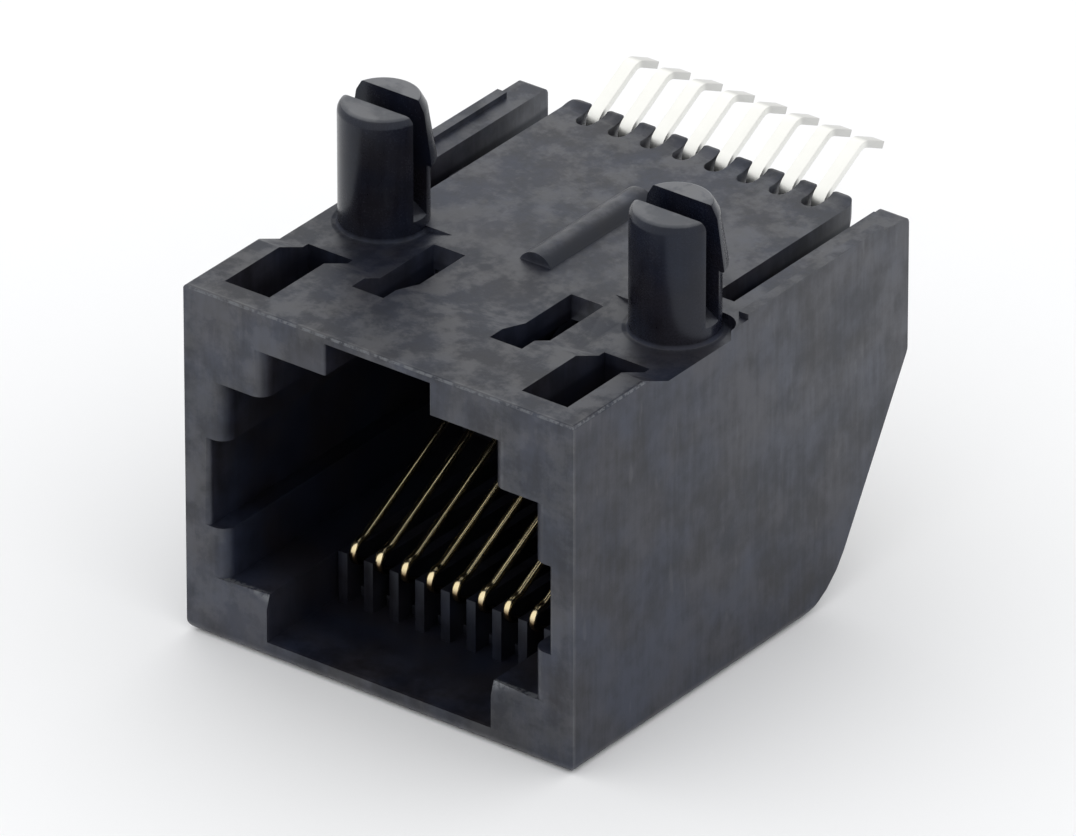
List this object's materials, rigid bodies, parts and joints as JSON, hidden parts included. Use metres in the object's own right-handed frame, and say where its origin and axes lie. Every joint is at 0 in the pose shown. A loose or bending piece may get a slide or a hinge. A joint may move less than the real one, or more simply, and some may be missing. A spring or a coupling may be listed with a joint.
{
  "type": "rj45 board jack",
  "caption": "Modular jack for a printed board: a boxy shell with a stepped plug opening, two split board pegs and formed contacts with tails at the rear.",
  "frame": {"origin": "midway between the two board pegs, on the plane that the board rests against", "axes": "+X across the mouth, +Y from the mouth back to the solder tails, +Z out of the board face along the pegs"},
  "size_m": [0.0152, 0.0203, 0.0164],
  "materials": {
    "shell_plastic": "fine moulded black",
    "carrier_plastic": "fine moulded black",
    "contact_metal": "gilt springs, bright tinned tails"
  },
  "bodies": {
    "root": {"housing": "shell_plastic", "carrier": "carrier_plastic", "contact_1": "contact_metal", "contact_2": "contact_metal", "contact_3": "contact_metal", "contact_4": "contact_metal", "contact_5": "contact_metal", "contact_6": "contact_metal", "contact_7": "contact_metal", "contact_8": "contact_metal"}
  },
  "joints": []
}
